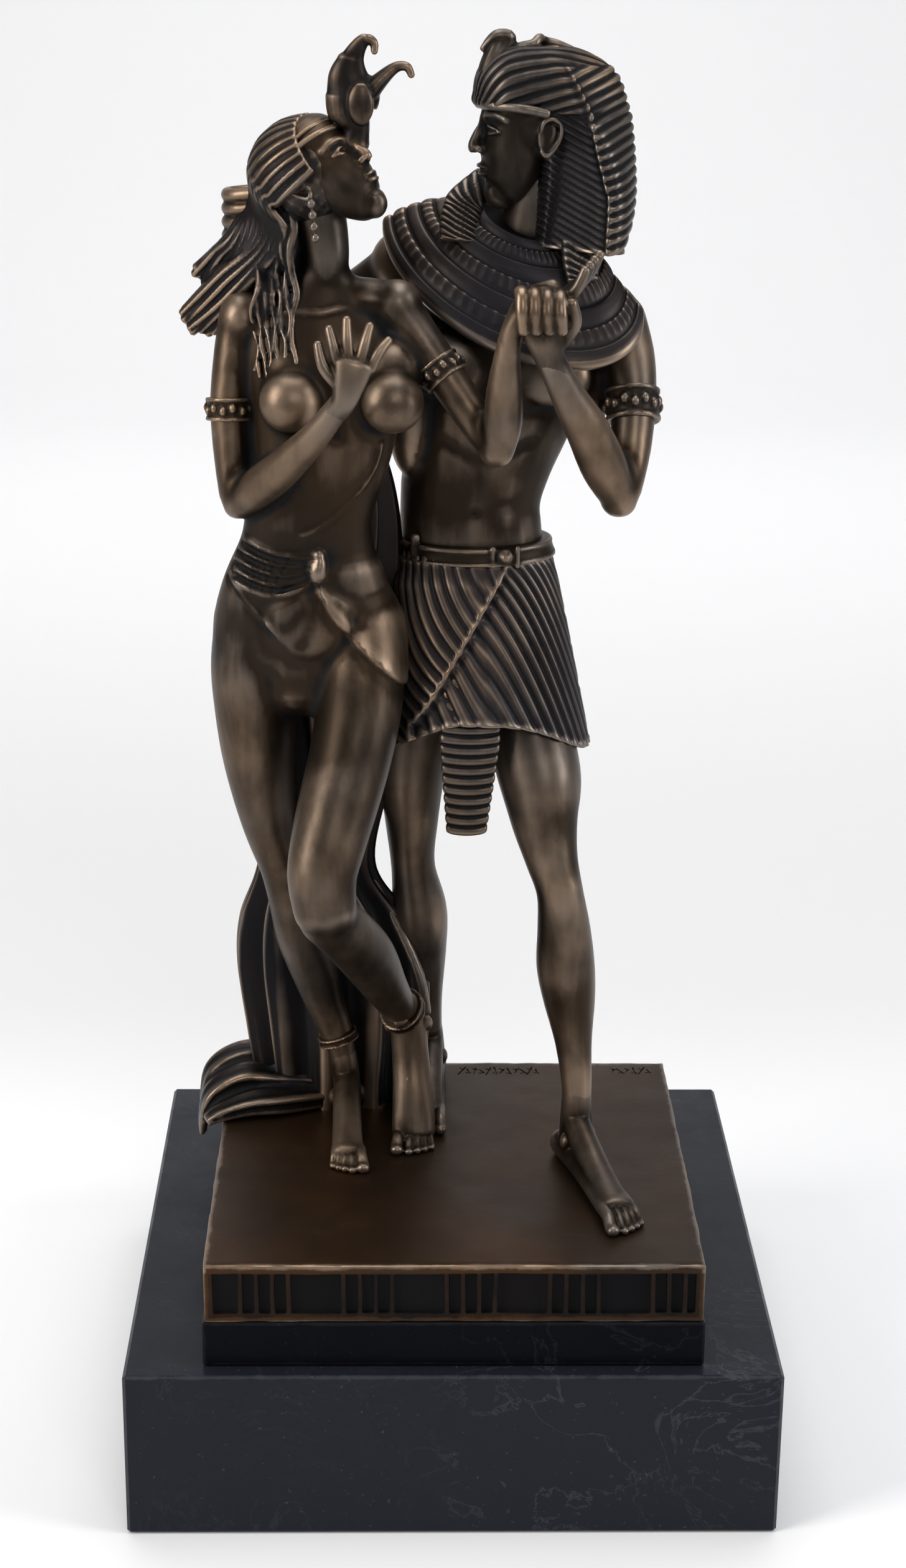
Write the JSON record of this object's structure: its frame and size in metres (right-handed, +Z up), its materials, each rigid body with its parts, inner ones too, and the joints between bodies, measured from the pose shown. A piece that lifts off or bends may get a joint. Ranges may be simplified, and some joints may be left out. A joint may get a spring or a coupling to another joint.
{
  "type": "egyptian couple statue",
  "caption": "Cast bronze couple in ancient Egyptian dress standing close with clasped hands, on a bronze base and a stepped black marble plinth.",
  "frame": {"origin": "centre of the marble plinth's underside", "axes": "+Z up; -Y towards the front, where the couple faces the viewer; +X to the viewer's right, the man's side"},
  "size_m": [0.152, 0.152, 0.3342],
  "materials": {
    "bronze": "dark brown patina, rubbed lighter on the high places",
    "black_marble": "honed blue-black marble, faintly veined"
  },
  "bodies": {
    "root": {"bronze_group": "bronze", "marble_step": "black_marble", "marble_plinth": "black_marble"}
  },
  "joints": []
}
